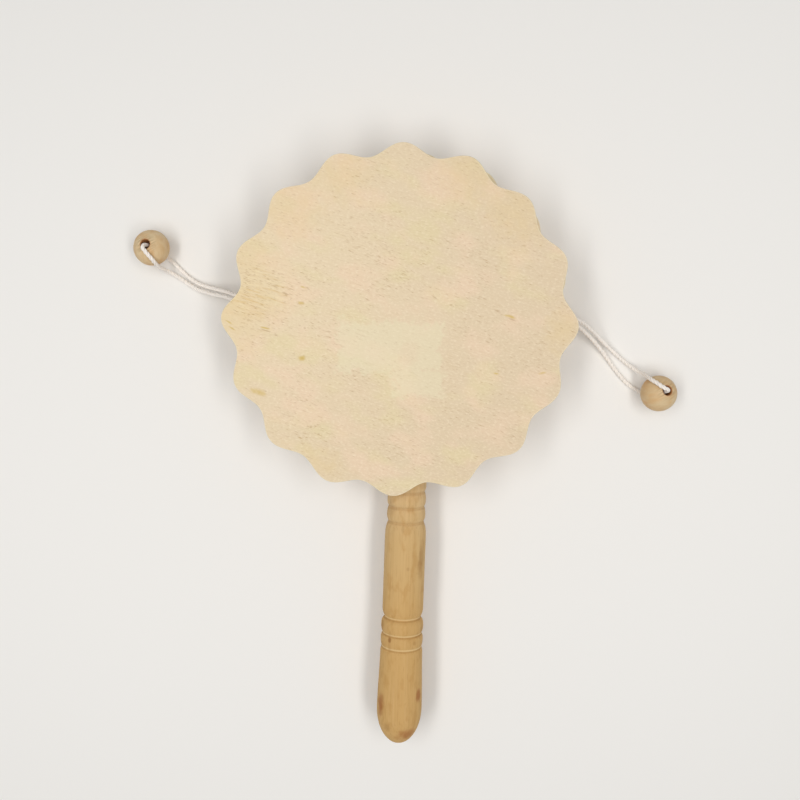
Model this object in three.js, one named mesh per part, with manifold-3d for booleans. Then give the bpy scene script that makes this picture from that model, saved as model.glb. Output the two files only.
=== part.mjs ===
// A wooden rattle drum, lying on its back plate: two scalloped plywood plates on a round hoop, a turned
// handle let into the hoop, and two beads on looped strings. Millimetres, +Z up, handle towards -Y.
// The origin is under the middle of the hoop, on the face that the drum lies on.
import * as THREE from 'three';
import { mergeVertices } from 'three/addons/utils/BufferGeometryUtils.js';
import Module from 'manifold-3d';

const wasm = await Module();
wasm.setup();

// Clearances
const glueLine = 0.3;            // between faces that are glued together
const slidingFit = 0.35;         // round the tenon and round the strings, in the holes of the hoop

// Plates
const plateTipRadius = 55;       // from the middle to the tip of a lobe
const plateThickness = 3;
const lobeCount = 16;
const lobeDepth = 3.4;           // from the tips down to the valleys
const pointsPerLobe = 12;
const backPlateTurn = -5;        // degrees, because the back plate was glued on a little turned
const backPlateShift = { x: 1.5, y: 0.8 };

// Hoop
const plateOverhang = 10;        // from the hoop's outside to the tips of the lobes
const hoopWall = 4;
const hoopHeight = 19.4;
const hoopSides = 72;

// Handle, whose lengths follow each other from the hoop to the rounded end
const handleSideOffset = 3.9;    // its axis leaves the hoop this far to the right of the middle
const handleLean = -0.4;         // degrees, back towards the middle, because it was glued in by eye
const tenonSetback = 0.6;        // the tenon ends this far short of the hoop's inside
const tenonShoulder = 1.9;       // how far the neck stands out round the tenon
const neckLength = 10.3;         // shoulder to first groove
const upperPitch = 5;            // between the grooves near the drum
const gripLength = 32.7;         // last upper groove to first lower groove
const lowerPitch = 5.5;          // between the first two lower grooves
const lastPitch = 4.7;           // between the last two
const swellLength = 21.5;        // last lower groove to where the end rounds off
const endLength = 12.3;          // the rounded end
const neckDiameter = 12.7;
const gripDiameter = 13.6;
const collarDiameter = 14.1;     // at the lower grooves
const swellDiameter = 15.15;
const gripRise = 4.5;            // length over which the neck thickens to the grip

// The six grooves in their order from the drum: how deep each is, and over what lengths the wood
// rounds down into it, on the drum's side and beyond it
const grooveShapes = [
  { depth: 0.5, near: 1.7, far: 2.5 },
  { depth: 0.5, near: 1.7, far: 2.5 },
  { depth: 0.55, near: 1.9, far: 2.5 },
  { depth: 0.9, near: 3, far: 1.4 },
  { depth: 0.6, near: 2.4, far: 1.4 },
  { depth: 0.4, near: 2.6, far: 1.6 },
];
const grooveSharpness = 1.8;     // 1 would be a plain V, and more curves the walls outwards
const handleSides = 28;
const endRows = 8;

// Strings and beads
const stringDiameter = 1.45;
const stringHolePlace = 3;       // the string holes are this far from the middle, away from the handle
const stringSides = 8;
const stringSteps = 40;
const threadingRoom = 1.05;      // round the string inside a bead
const beadDiameter = 11.8;
const beadHoleEasing = 0.4;
const stringFlattening = 0.15;   // each bead rests on its own string, and presses it a little flat
const beadSides = 24;
const beadRows = 14;
const beadPlaces = {
  left: { x: -83.9, y: 22, holeTilt: 10.4, holeHeading: 116.3 },
  right: { x: 85.5, y: -21.2, holeTilt: 22.9, holeHeading: 41.9 },
};

// Each string is one loop: out of the hoop, down to the floor, under its bead and up through it, over
// the bead's side and back into the hoop.
const stringRoutes = {
  left: [
    [-41, 3.8, 13], [-45.5, 3.9, 12.9], [-50, 5.3, 12.1], [-54.3, 6.9, 10.2], [-58.4, 8.1, 7.6],
    [-61.6, 8.7, 5.4], [-65, 9.4, 3.3], [-69.3, 10.6, 1.5], [-72.4, 12.3, 1], [-75.2, 14.6, 0.8],
    [-78.3, 17.5, 0.8], [-81.2, 19.7, 0.8], [-82.9, 20.8, 1.5], [-83.6, 21.2, 3.3], [-83.9, 22, 7.2],
    [-84.3, 22.6, 11.2], [-84.8, 22.4, 13.1], [-84.6, 21.5, 14.1], [-83.6, 20.1, 13.9], [-82.1, 18.1, 12.7],
    [-81.3, 16.6, 10.9], [-80.9, 15.7, 8.6], [-80.4, 15.1, 6.4], [-79.7, 14.6, 4.2], [-78.3, 13.8, 2.6],
    [-76.2, 12.5, 1.6], [-73.2, 10.6, 1.4], [-69.8, 8.8, 2.2], [-64.8, 7.4, 4.5], [-61.7, 6.9, 6.4],
    [-58.6, 6.4, 8.4], [-54.5, 5.2, 10.8], [-50, 3.6, 12.4], [-45.5, 2.2, 12.9], [-41, 2.2, 13],
  ],
  right: [
    [41, 2.2, 13], [45.5, 2.2, 12.9], [50, 2.3, 12.1], [54.3, 1.6, 10.6], [58, 0, 8.5],
    [61.1, -2.3, 6.1], [64.8, -5.6, 3.4], [68, -9.1, 1.7], [70.8, -12.7, 1], [73.8, -16.3, 0.8],
    [76.8, -19.2, 0.8], [79.4, -20.9, 0.8], [81.6, -22, 0.8], [83, -22.8, 1.5], [84.4, -22.5, 3.3],
    [85.5, -21.2, 7.2], [86.7, -20.1, 11.1], [87.2, -19.6, 12.9], [86.4, -19.1, 13.9], [84.9, -18.3, 13.6],
    [83.5, -17.3, 12.7], [82.2, -16.5, 11.2], [81.4, -15.8, 9], [80.6, -15.1, 6.4], [79.4, -14.5, 4],
    [77.4, -13.2, 2.2], [74.5, -11.1, 1.4], [70.2, -7.6, 2.1], [66.4, -4.3, 4.1], [62.6, -1, 7],
    [59.1, 1.4, 9.2], [54.7, 3.2, 11.3], [50, 3.9, 12.4], [45.5, 3.8, 12.9], [41, 3.8, 13],
  ],
};

// What follows from the sizes above
const hoopOuterRadius = plateTipRadius - plateOverhang;
const hoopInnerRadius = hoopOuterRadius - hoopWall;
const hoopFloor = plateThickness + glueLine;
const hoopTop = hoopFloor + hoopHeight;
const frontPlateFloor = hoopTop + glueLine;
const axisHeight = hoopFloor + hoopHeight / 2;
const tenonRadius = neckDiameter / 2 - tenonShoulder;
const handleTurn = THREE.MathUtils.degToRad(handleLean);
const beadHoleRadius = stringDiameter / 2 + threadingRoom;
const beadHeight = beadDiameter / 2 + stringDiameter - stringFlattening;

const plywood = new THREE.MeshStandardMaterial({ color: 0xe8d3ad, roughness: 0.75, metalness: 0 });
const hoopWood = new THREE.MeshStandardMaterial({ color: 0xd9bd8c, roughness: 0.7, metalness: 0 });
const turnedWood = new THREE.MeshStandardMaterial({ color: 0xc8a16a, roughness: 0.6, metalness: 0 });
const beadWood = new THREE.MeshStandardMaterial({ color: 0xcbae84, roughness: 0.55, metalness: 0 });
const cotton = new THREE.MeshStandardMaterial({ color: 0xf0eee8, roughness: 0.9, metalness: 0 });

const drum = new THREE.Group();

function addPiece(name, geometry, material) {
  const mesh = new THREE.Mesh(geometry, material);
  mesh.name = name;
  drum.add(mesh);
  return mesh;
}

function toSolid(geometry) {
  geometry.deleteAttribute('normal');
  geometry.deleteAttribute('uv');
  const merged = mergeVertices(geometry);
  return new wasm.Manifold(new wasm.Mesh({
    numProp: 3,
    vertProperties: new Float32Array(merged.attributes.position.array),
    triVerts: new Uint32Array(merged.index.array),
  }));
}

function toGeometry(solid) {
  const cut = solid.getMesh();
  const geometry = new THREE.BufferGeometry();
  geometry.setAttribute('position', new THREE.BufferAttribute(cut.vertProperties, 3));
  geometry.setIndex(new THREE.BufferAttribute(cut.triVerts, 1));
  return geometry;
}

// A plate's outline is a wave of lobes round a circle, with the tip of one lobe on +Y.
function scallopedPlate() {
  const wave = lobeDepth / 2;
  const middleRadius = plateTipRadius - wave;
  const pointCount = lobeCount * pointsPerLobe;
  const points = [];
  for (let i = 0; i < pointCount; i += 1) {
    const turn = (2 * Math.PI * i) / pointCount;
    const radius = middleRadius + wave * Math.cos(lobeCount * turn);
    points.push(new THREE.Vector2(-radius * Math.sin(turn), radius * Math.cos(turn)));
  }
  return new THREE.ExtrudeGeometry(new THREE.Shape(points), { depth: plateThickness, bevelEnabled: false });
}

// The hoop is a ring with a hole for the handle's tenon and one on each side for a string.
function drilledHoop() {
  const section = [
    new THREE.Vector2(hoopInnerRadius, hoopFloor),
    new THREE.Vector2(hoopOuterRadius, hoopFloor),
    new THREE.Vector2(hoopOuterRadius, hoopTop),
    new THREE.Vector2(hoopInnerRadius, hoopTop),
    new THREE.Vector2(hoopInnerRadius, hoopFloor),
  ];
  const ring = new THREE.LatheGeometry(section, hoopSides);
  ring.rotateX(Math.PI / 2);
  let solid = toSolid(ring);
  const wallMiddle = (hoopInnerRadius + hoopOuterRadius) / 2;
  const drillLength = 3 * hoopWall;
  const tenonHoleRadius = tenonRadius + slidingFit;
  const tenonDrill = new THREE.CylinderGeometry(tenonHoleRadius, tenonHoleRadius, drillLength, handleSides);
  tenonDrill.translate(0, hoopWall / 2, 0);
  tenonDrill.rotateZ(handleTurn);
  tenonDrill.translate(handleSideOffset, -hoopOuterRadius, axisHeight);
  solid = solid.subtract(toSolid(tenonDrill));
  const stringHoleRadius = stringDiameter + 1.5 * slidingFit;
  const holeSides = 2 * stringSides;
  for (const side of [-1, 1]) {
    const drill = new THREE.CylinderGeometry(stringHoleRadius, stringHoleRadius, drillLength, holeSides);
    drill.rotateZ(Math.PI / 2);
    drill.translate(side * wallMiddle, stringHolePlace, axisHeight);
    solid = solid.subtract(toSolid(drill));
  }
  return toGeometry(solid);
}

// The turned handle in its own frame: its axis is Y, and distances run outwards from the hoop's outside.
function turnedHandle() {
  const steps = [glueLine + neckLength, upperPitch, upperPitch, gripLength, lowerPitch, lastPitch];
  let reached = 0;
  const grooves = grooveShapes.map((shape, index) => {
    reached += steps[index];
    return { place: reached, ...shape };
  });
  const [, , lastUpper, firstLower, , lastLower] = grooves.map(({ place }) => place);
  const endStart = lastLower + swellLength;
  const stations = [
    [glueLine, neckDiameter],
    [lastUpper, neckDiameter],
    [lastUpper + gripRise, gripDiameter],
    [firstLower, gripDiameter],
    [firstLower + lowerPitch / 2, collarDiameter],
    [lastLower, collarDiameter],
    [endStart, swellDiameter],
  ];

  function plainRadius(distance) {
    const next = Math.max(1, stations.findIndex(([place]) => place >= distance));
    const [from, fromDiameter] = stations[next - 1];
    const [to, toDiameter] = stations[next];
    const share = THREE.MathUtils.smoothstep(distance, from, to);
    return THREE.MathUtils.lerp(fromDiameter, toDiameter, share) / 2;
  }

  function grooveDip(distance) {
    const dips = grooves.map(({ place, depth, near, far }) => {
      const away = Math.abs(distance - place) / (distance < place ? near : far);
      return away < 1 ? depth * (1 - away) ** grooveSharpness : 0;
    });
    return Math.max(...dips);
  }

  const rows = [glueLine];
  for (const { place, near, far } of grooves) {
    for (const share of [1, 0.55, 0.2]) rows.push(place - share * near);
    rows.push(place);
    for (const share of [0.2, 0.55, 1]) rows.push(place + share * far);
  }
  rows.push(lastUpper + gripRise, (lastUpper + gripRise + firstLower) / 2);
  for (const share of [0.3, 0.5, 0.7, 0.85, 1]) rows.push(lastLower + share * swellLength);
  rows.sort((a, b) => a - b);

  const tenonLength = hoopWall - tenonSetback;
  const profile = [new THREE.Vector2(0, tenonLength), new THREE.Vector2(tenonRadius, tenonLength)];
  profile.push(new THREE.Vector2(tenonRadius, -glueLine));
  for (const row of rows) profile.push(new THREE.Vector2(plainRadius(row) - grooveDip(row), -row));
  for (let i = 1; i <= endRows; i += 1) {
    const turn = (Math.PI / 2) * (i / endRows);
    const radius = i === endRows ? 0 : (swellDiameter / 2) * Math.cos(turn);
    profile.push(new THREE.Vector2(radius, -(endStart + endLength * Math.sin(turn))));
  }
  return new THREE.LatheGeometry(profile.reverse(), handleSides);
}

// A bead is a ball with a hole along its own Y, whose mouths are eased.
function drilledBead() {
  const radius = beadDiameter / 2;
  const mouthRadius = beadHoleRadius + beadHoleEasing;
  const mouthTurn = Math.asin(mouthRadius / radius);
  const holeEnd = radius * Math.cos(mouthTurn) - beadHoleEasing;
  const profile = [new THREE.Vector2(beadHoleRadius, -holeEnd)];
  for (let i = 0; i <= beadRows; i += 1) {
    const turn = mouthTurn + ((Math.PI - 2 * mouthTurn) * i) / beadRows;
    profile.push(new THREE.Vector2(radius * Math.sin(turn), -radius * Math.cos(turn)));
  }
  profile.push(new THREE.Vector2(beadHoleRadius, holeEnd), new THREE.Vector2(beadHoleRadius, -holeEnd));
  return new THREE.LatheGeometry(profile, beadSides);
}

function loopedString(route) {
  const corners = [];
  for (let i = 0; i < stringSides; i += 1) {
    const turn = (2 * Math.PI * i) / stringSides;
    corners.push(new THREE.Vector2(Math.cos(turn), Math.sin(turn)).multiplyScalar(stringDiameter / 2));
  }
  const path = new THREE.CatmullRomCurve3(route.map((point) => new THREE.Vector3(...point)));
  return new THREE.ExtrudeGeometry(new THREE.Shape(corners), { steps: stringSteps, extrudePath: path });
}

const frontPlate = addPiece('front_plate', scallopedPlate(), plywood);
frontPlate.position.z = frontPlateFloor;

const backPlate = addPiece('back_plate', scallopedPlate(), plywood);
backPlate.position.set(backPlateShift.x, backPlateShift.y, 0);
backPlate.rotation.z = THREE.MathUtils.degToRad(backPlateTurn);

addPiece('hoop', drilledHoop(), hoopWood);
const handle = addPiece('handle', turnedHandle(), turnedWood);
handle.position.set(handleSideOffset, -hoopOuterRadius, axisHeight);
handle.rotation.z = handleTurn;

for (const [side, place] of Object.entries(beadPlaces)) {
  const bead = addPiece(`bead_${side}`, drilledBead(), beadWood);
  const tilt = THREE.MathUtils.degToRad(place.holeTilt);
  const heading = THREE.MathUtils.degToRad(place.holeHeading);
  const sideways = Math.sin(tilt);
  const hole = new THREE.Vector3(sideways * Math.cos(heading), sideways * Math.sin(heading), Math.cos(tilt));
  bead.quaternion.setFromUnitVectors(new THREE.Vector3(0, 1, 0), hole);
  bead.position.set(place.x, place.y, beadHeight);
  addPiece(`string_${side}`, loopedString(stringRoutes[side]), cotton);
}

export default drum;
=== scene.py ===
# %% [markdown]
# # A wooden rattle drum
# The real thing is a small craft drum. Two scalloped plywood plates are glued on a round hoop, a
# turned handle is let into the hoop, and two wooden beads hang on looped cotton strings. When the
# handle is twirled, the beads swing round and strike the plates. Here it lies flat on a pale table,
# seen almost straight from above. Each cell below makes one piece or one finish.

# %% Load the frame
import math
import random

import bmesh
import bpy
from mathutils import Matrix, Vector


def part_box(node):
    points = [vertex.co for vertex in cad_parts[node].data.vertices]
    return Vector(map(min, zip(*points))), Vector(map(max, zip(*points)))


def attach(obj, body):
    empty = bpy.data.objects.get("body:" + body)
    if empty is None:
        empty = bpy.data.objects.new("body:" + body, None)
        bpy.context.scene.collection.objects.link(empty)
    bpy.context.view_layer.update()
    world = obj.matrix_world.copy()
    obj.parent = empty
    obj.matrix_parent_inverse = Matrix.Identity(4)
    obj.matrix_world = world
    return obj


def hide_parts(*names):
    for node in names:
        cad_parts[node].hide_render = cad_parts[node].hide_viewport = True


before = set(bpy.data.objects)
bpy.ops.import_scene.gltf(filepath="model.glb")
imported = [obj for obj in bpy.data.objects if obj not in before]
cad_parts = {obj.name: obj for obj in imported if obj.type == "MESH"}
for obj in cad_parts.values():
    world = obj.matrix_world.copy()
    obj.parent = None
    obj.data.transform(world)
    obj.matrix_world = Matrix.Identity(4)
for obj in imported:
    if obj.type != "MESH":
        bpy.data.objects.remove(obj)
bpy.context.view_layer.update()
MM = 0.001
print("nodes:", sorted(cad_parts))

# %% [markdown]
# ## The camera
# The plate looks a little larger at its upper right, and the handle's grooves bend like smiles. Both
# say that the camera hung close over the drum, a finger's breadth to the right of the middle, and was
# tipped by six degrees. It could be turned until the picture looks right, but here it is placed by
# where it hung, where it looked, and how far the picture leans, because those can be checked.

# %% Camera
photo_side_px = 800
focal_length_px = 950
sensor_mm = 36
camera_place = Vector((16.0, 5.8, 322.5)) * MM
camera_target = Vector((1.3, -24.3, 26.0)) * MM
picture_lean = math.radians(1.6)

camera_data = bpy.data.cameras.new("camera")
camera_data.sensor_width = sensor_mm
camera_data.lens = sensor_mm * focal_length_px / photo_side_px
camera_data.clip_start = 10 * MM
camera = bpy.data.objects.new("camera", camera_data)
bpy.context.scene.collection.objects.link(camera)
backward = (camera_place - camera_target).normalized()
picture_up = Vector((-math.sin(picture_lean), math.cos(picture_lean), 0))
to_right = picture_up.cross(backward).normalized()
upward = backward.cross(to_right)
turned = Matrix((to_right, upward, backward)).transposed()
camera.matrix_world = Matrix.Translation(camera_place) @ turned.to_4x4()
bpy.context.scene.camera = camera
print("lens:", round(camera_data.lens, 2), "mm, looking from", round(camera_place.z / MM), "mm up")

# %% [markdown]
# ## The strings
# Each string is one loop of white cotton twine. It comes out of the hoop, drops to the table, runs under
# its bead, up through the hole, over the bead's side and back into the hoop. Its points are listed one by
# one, and a curve that passes through every one of them gives the line. Twine is three thin plies laid
# round each other, so three tubes are wound round that line. A single smooth tube would look like plastic,
# and a texture of plies would vanish from the side.

# %% The line of a string
string_routes_mm = {
    "left": [
        (-41, 3.8, 13), (-45.5, 3.9, 12.9), (-50, 5.3, 12.1), (-54.3, 6.9, 10.2),
        (-58.4, 8.1, 7.6), (-61.6, 8.7, 5.4), (-65, 9.4, 3.3), (-69.3, 10.6, 1.5),
        (-72.4, 12.3, 1), (-75.2, 14.6, 0.8), (-78.3, 17.5, 0.8), (-81.2, 19.7, 0.8),
        (-82.9, 20.8, 1.5), (-83.6, 21.2, 3.3), (-83.9, 22, 7.2), (-84.3, 22.6, 11.2),
        (-84.8, 22.4, 13.1), (-84.6, 21.5, 14.1), (-83.6, 20.1, 13.9), (-82.1, 18.1, 12.7),
        (-81.3, 16.6, 10.9), (-80.9, 15.7, 8.6), (-80.4, 15.1, 6.4), (-79.7, 14.6, 4.2),
        (-78.3, 13.8, 2.6), (-76.2, 12.5, 1.6), (-73.2, 10.6, 1.4), (-69.8, 8.8, 2.2),
        (-64.8, 7.4, 4.5), (-61.7, 6.9, 6.4), (-58.6, 6.4, 8.4), (-54.5, 5.2, 10.8),
        (-50, 3.6, 12.4), (-45.5, 2.2, 12.9), (-41, 2.2, 13),
    ],
    "right": [
        (41, 2.2, 13), (45.5, 2.2, 12.9), (50, 2.3, 12.1), (54.3, 1.6, 10.6),
        (58, 0, 8.5), (61.1, -2.3, 6.1), (64.8, -5.6, 3.4), (68, -9.1, 1.7),
        (70.8, -12.7, 1), (73.8, -16.3, 0.8), (76.8, -19.2, 0.8), (79.4, -20.9, 0.8),
        (81.6, -22, 0.8), (83, -22.8, 1.5), (84.4, -22.5, 3.3), (85.5, -21.2, 7.2),
        (86.7, -20.1, 11.1), (87.2, -19.6, 12.9), (86.4, -19.1, 13.9), (84.9, -18.3, 13.6),
        (83.5, -17.3, 12.7), (82.2, -16.5, 11.2), (81.4, -15.8, 9), (80.6, -15.1, 6.4),
        (79.4, -14.5, 4), (77.4, -13.2, 2.2), (74.5, -11.1, 1.4), (70.2, -7.6, 2.1),
        (66.4, -4.3, 4.1), (62.6, -1, 7), (59.1, 1.4, 9.2), (54.7, 3.2, 11.3),
        (50, 3.9, 12.4), (45.5, 3.8, 12.9), (41, 3.8, 13),
    ],
}
print("points on each string:", [len(route) for route in string_routes_mm.values()])

# %% A smooth curve through the points
curve_steps = 24


def curve_point(before, start, end, after, share):
    """A point on the centripetal Catmull-Rom curve from start to end."""
    knots = [0.0]
    points = [before, start, end, after]
    for first, second in zip(points, points[1:]):
        knots.append(knots[-1] + math.sqrt((second - first).length))
    place = knots[1] + share * (knots[2] - knots[1])

    def between(low, high, first, second):
        return first.lerp(second, (place - knots[low]) / (knots[high] - knots[low]))

    a, b, c = (between(i, i + 1, points[i], points[i + 1]) for i in range(3))
    return between(1, 2, between(0, 2, a, b), between(1, 3, b, c))


def smooth_line(points, spacing):
    """Points at equal steps along the curve through the given points, and the curve's length."""
    ends = [2 * points[0] - points[1]] + points + [2 * points[-1] - points[-2]]
    fine = []
    for i in range(len(points) - 1):
        fine += [curve_point(*ends[i:i + 4], step / curve_steps) for step in range(curve_steps)]
    fine.append(points[-1])
    reach = [0.0]
    for first, second in zip(fine, fine[1:]):
        reach.append(reach[-1] + (second - first).length)
    count = round(reach[-1] / spacing)
    line, i = [], 0
    for step in range(count + 1):
        wanted = reach[-1] * step / count
        while i < len(fine) - 2 and reach[i + 1] < wanted:
            i += 1
        line.append(fine[i].lerp(fine[i + 1], (wanted - reach[i]) / (reach[i + 1] - reach[i])))
    return line, reach[-1]


# %% Lay three plies round the line
ply_count = 3
ply_sides = 8
ply_radius = 0.41 * MM
ply_offset = 0.31 * MM
ply_pitch = 4.2 * MM
ring_spacing = 0.3 * MM


def carried_frames(line):
    """A sideways and an upwards direction at each point, carried along without twisting."""
    sideways = (line[1] - line[0]).orthogonal().normalized()
    frames = []
    for i, point in enumerate(line):
        ahead = (line[min(i + 1, len(line) - 1)] - line[max(i - 1, 0)]).normalized()
        sideways = (sideways - ahead * sideways.dot(ahead)).normalized()
        frames.append((point, sideways, ahead.cross(sideways)))
    return frames


def lay_twine(name, line, length):
    """A mesh of three tubes that wind round the line as one piece of twine."""
    frames = carried_frames(line)
    vertices, faces = [], []
    for ply in range(ply_count):
        first = len(vertices)
        for i, (point, sideways, up) in enumerate(frames):
            turn = 2 * math.pi * (ply / ply_count + length * i / len(line) / ply_pitch)
            middle = point + ply_offset * (math.cos(turn) * sideways + math.sin(turn) * up)
            for side in range(ply_sides):
                angle = 2 * math.pi * side / ply_sides
                vertices.append(middle + ply_radius * (math.cos(angle) * sideways + math.sin(angle) * up))
        last = len(vertices) - ply_sides
        for ring in range(first, last, ply_sides):
            for side in range(ply_sides):
                beside = (side + 1) % ply_sides
                above = ring + ply_sides
                faces.append((ring + side, ring + beside, above + beside, above + side))
        faces.append(tuple(range(first + ply_sides - 1, first - 1, -1)))
        faces.append(tuple(range(last, last + ply_sides)))
    mesh = bpy.data.meshes.new(name)
    mesh.from_pydata(vertices, [], faces)
    mesh.shade_smooth()
    twine = bpy.data.objects.new(name, mesh)
    bpy.context.scene.collection.objects.link(twine)
    return twine


strings = {}
for side, route in string_routes_mm.items():
    line, length = smooth_line([Vector(point) * MM for point in route], ring_spacing)
    twine = lay_twine("twine_" + side, line, length)
    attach(twine, "root")
    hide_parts("string_" + side)
    strings[side] = (twine, line, length)
    print(twine.name, round(length / MM, 1), "mm long,", len(twine.data.polygons), "faces")

# %% [markdown]
# ## Working by hand in code
# Blender's operators act on whatever is selected, as they do by hand. These helpers clear the
# selection, choose faces or vertices by their place, and settle a finished piece: its place goes into
# its mesh, its normals face outwards, and it takes its node's place in the model.

# %% Helpers for modelling


def clear_selection():
    """Leave edit mode and select nothing."""
    if bpy.context.object and bpy.context.object.mode == "EDIT":
        bpy.ops.object.mode_set(mode="OBJECT")
    bpy.ops.object.select_all(action="DESELECT")


def begin(name):
    """Name the primitive that was just added, put its place in its mesh, and start editing it."""
    piece = bpy.context.object
    piece.name = piece.data.name = name
    bpy.ops.object.transform_apply(location=True, rotation=True, scale=True)
    bpy.ops.object.mode_set(mode="EDIT")
    return piece


def choose(piece, kind, wanted):
    """In edit mode, select the "verts", "edges" or "faces" that wanted() is true of."""
    modes = {"verts": "VERT", "edges": "EDGE", "faces": "FACE"}
    bpy.ops.mesh.select_mode(type=modes[kind])
    bpy.ops.mesh.select_all(action="DESELECT")
    mesh = bmesh.from_edit_mesh(piece.data)
    for item in [item for item in getattr(mesh, kind) if wanted(item)]:
        item.select_set(True)
    mesh.select_flush_mode()
    bmesh.update_edit_mesh(piece.data)


def settle(piece, node, smooth_below=40):
    """Finish a piece and let it stand for its node. Edges under smooth_below degrees look round."""
    bpy.ops.object.mode_set(mode="EDIT")
    bpy.ops.mesh.select_all(action="SELECT")
    bpy.ops.mesh.remove_doubles(threshold=0.001 * MM)
    bpy.ops.mesh.normals_make_consistent(inside=False)
    bpy.ops.object.mode_set(mode="OBJECT")
    bpy.ops.object.transform_apply(location=True, rotation=True, scale=True)
    bpy.ops.object.shade_smooth_by_angle(angle=math.radians(smooth_below))
    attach(piece, "root")
    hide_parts(node)
    print(piece.name, len(piece.data.polygons), "faces, stands for", node)


def apply_modifier(piece, kind, **settings):
    """Add a modifier to the active piece and apply it at once."""
    modifier = piece.modifiers.new(kind.lower(), kind)
    for setting, value in settings.items():
        setattr(modifier, setting, value)
    bpy.ops.object.modifier_apply(modifier=modifier.name)


# %% [markdown]
# ## The plates
# A plate is sawn from three-ply wood of 3 mm. A disc is laid out as a ring of points, and all points
# that stand at the same place on their lobe are scaled together, so twenty-four strokes shape all
# sixteen lobes. Then the outline is filled, drawn up to the thickness of the board, and its corners
# are broken a little, as with sandpaper. The front plate was sawn by eye: it is a little wider one
# way, and some lobes are fuller than others. A formula could give the whole outline at once, but a
# ring of points can still be pushed here and there, as the real saw was. Whole numbers below are tips,
# counted clockwise from the top, and halves are the valleys after them. Proportional editing moves
# the neighbours along softly.

# %% Sizes of the plates
lobe_count = 16
points_per_lobe = 24
lobe_depth = 3.7 * MM
broken_corner = 0.3 * MM
wider_way = math.radians(17)
wider_by = 1.009
front_slips_mm = {2: -0.3, 4: 0.5, 5: -0.5, 7: 0.25, 12: 0.4, 13: -0.4, 12.5: -0.9, 13.5: -0.4, 9.5: 0.4}
back_chance = random.Random(8)
back_slips_mm = {tip: back_chance.uniform(-0.3, 0.1) for tip in range(lobe_count)}
back_plate_turn = math.radians(-5)
print("strokes of the saw:", points_per_lobe, "slips on the front plate:", len(front_slips_mm))

# %% Sawing a plate


def saw_plate(name, node, turn, slips_mm):
    """A plate of the node's size in the node's place, with the given slips of the saw."""
    low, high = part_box(node)
    centre = (Vector(low) + Vector(high)) / 2
    thickness = high[2] - low[2]
    tip_radius = (high[1] - low[1]) / 2
    point_count = lobe_count * points_per_lobe
    clear_selection()
    bpy.ops.mesh.primitive_circle_add(vertices=point_count, radius=tip_radius, fill_type="NOTHING")
    plate = begin(name)

    def place_on_ring(vertex):
        return round(point_count * math.atan2(vertex.co.x, vertex.co.y) / (2 * math.pi)) % point_count

    for step in range(points_per_lobe):
        wave = (1 - math.cos(2 * math.pi * step / points_per_lobe)) / 2
        scale = 1 - wave * lobe_depth / tip_radius
        choose(plate, "verts", lambda vertex: place_on_ring(vertex) % points_per_lobe == step)
        bpy.ops.transform.resize(value=(scale, scale, 1), center_override=(0, 0, 0))
    slip_reach = tip_radius / 5
    for place, slip in slips_mm.items():
        angle = 2 * math.pi * place / lobe_count
        choose(plate, "verts", lambda vertex: place_on_ring(vertex) == place * points_per_lobe)
        bpy.ops.transform.translate(
            value=Vector((math.sin(angle), math.cos(angle), 0)) * slip * MM,
            use_proportional_edit=True, proportional_edit_falloff="SMOOTH", proportional_size=slip_reach)
    bpy.ops.mesh.select_all(action="SELECT")
    bpy.ops.mesh.edge_face_add()
    bpy.ops.mesh.extrude_region_move(TRANSFORM_OT_translate={"value": (0, 0, thickness)})
    bpy.ops.object.mode_set(mode="OBJECT")
    apply_modifier(plate, "BEVEL", width=broken_corner, segments=2, limit_method="ANGLE")
    plate.rotation_euler.z = turn
    plate.location = (centre.x, centre.y, low[2])
    return plate


# %% The front plate and the back plate
plate_smoothing = 20
front_plate = saw_plate("plate_front", "front_plate", 0, front_slips_mm)
bpy.ops.object.mode_set(mode="EDIT")
bpy.ops.mesh.select_all(action="SELECT")
bpy.ops.transform.resize(
    value=(wider_by, 1, 1), orient_matrix=Matrix.Rotation(wider_way, 3, "Z"), orient_type="GLOBAL",
    orient_matrix_type="GLOBAL", center_override=(0, 0, 0))
settle(front_plate, "front_plate", plate_smoothing)
back_plate = saw_plate("plate_back", "back_plate", back_plate_turn, back_slips_mm)
settle(back_plate, "back_plate", plate_smoothing)

# %% [markdown]
# ## The hoop
# The hoop is a ring of wood between the plates. It starts as a disc as thick as the gap, the inside
# is marked with an inset and pushed out by joining the two inner outlines, and then it is drilled:
# once for the handle's tenon and once on each side for the strings. The drills are cylinders that a
# Boolean modifier subtracts. A ring could also be spun from a small rectangle, but an inset gives the
# wall its thickness in one stroke.

# %% Sizes of the hoop
hoop_box = [Vector(corner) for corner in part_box("hoop")]
hoop_radius = (hoop_box[1].x - hoop_box[0].x) / 2
hoop_wall = 4 * MM
axis_height = (hoop_box[0].z + hoop_box[1].z) / 2
front_plate_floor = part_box("front_plate")[0][2]
back_plate_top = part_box("back_plate")[1][2]
hoop_height = front_plate_floor - back_plate_top
string_hole_place = 3 * MM
handle_side_offset = 3.9 * MM
handle_lean = math.radians(-0.4)
handle_root = Vector((handle_side_offset, -hoop_radius, axis_height))
tenon_radius = 4.45 * MM
tenon_room = 0.35 * MM
string_hole_radius = 1.98 * MM
print("hoop:", round(2 * hoop_radius / MM, 1), "mm across,", round(hoop_height / MM, 1), "mm high")

# %% Bending and drilling the hoop
hoop_sides = 144
bit_sides = 32
bit_length = 4 * hoop_wall


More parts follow.
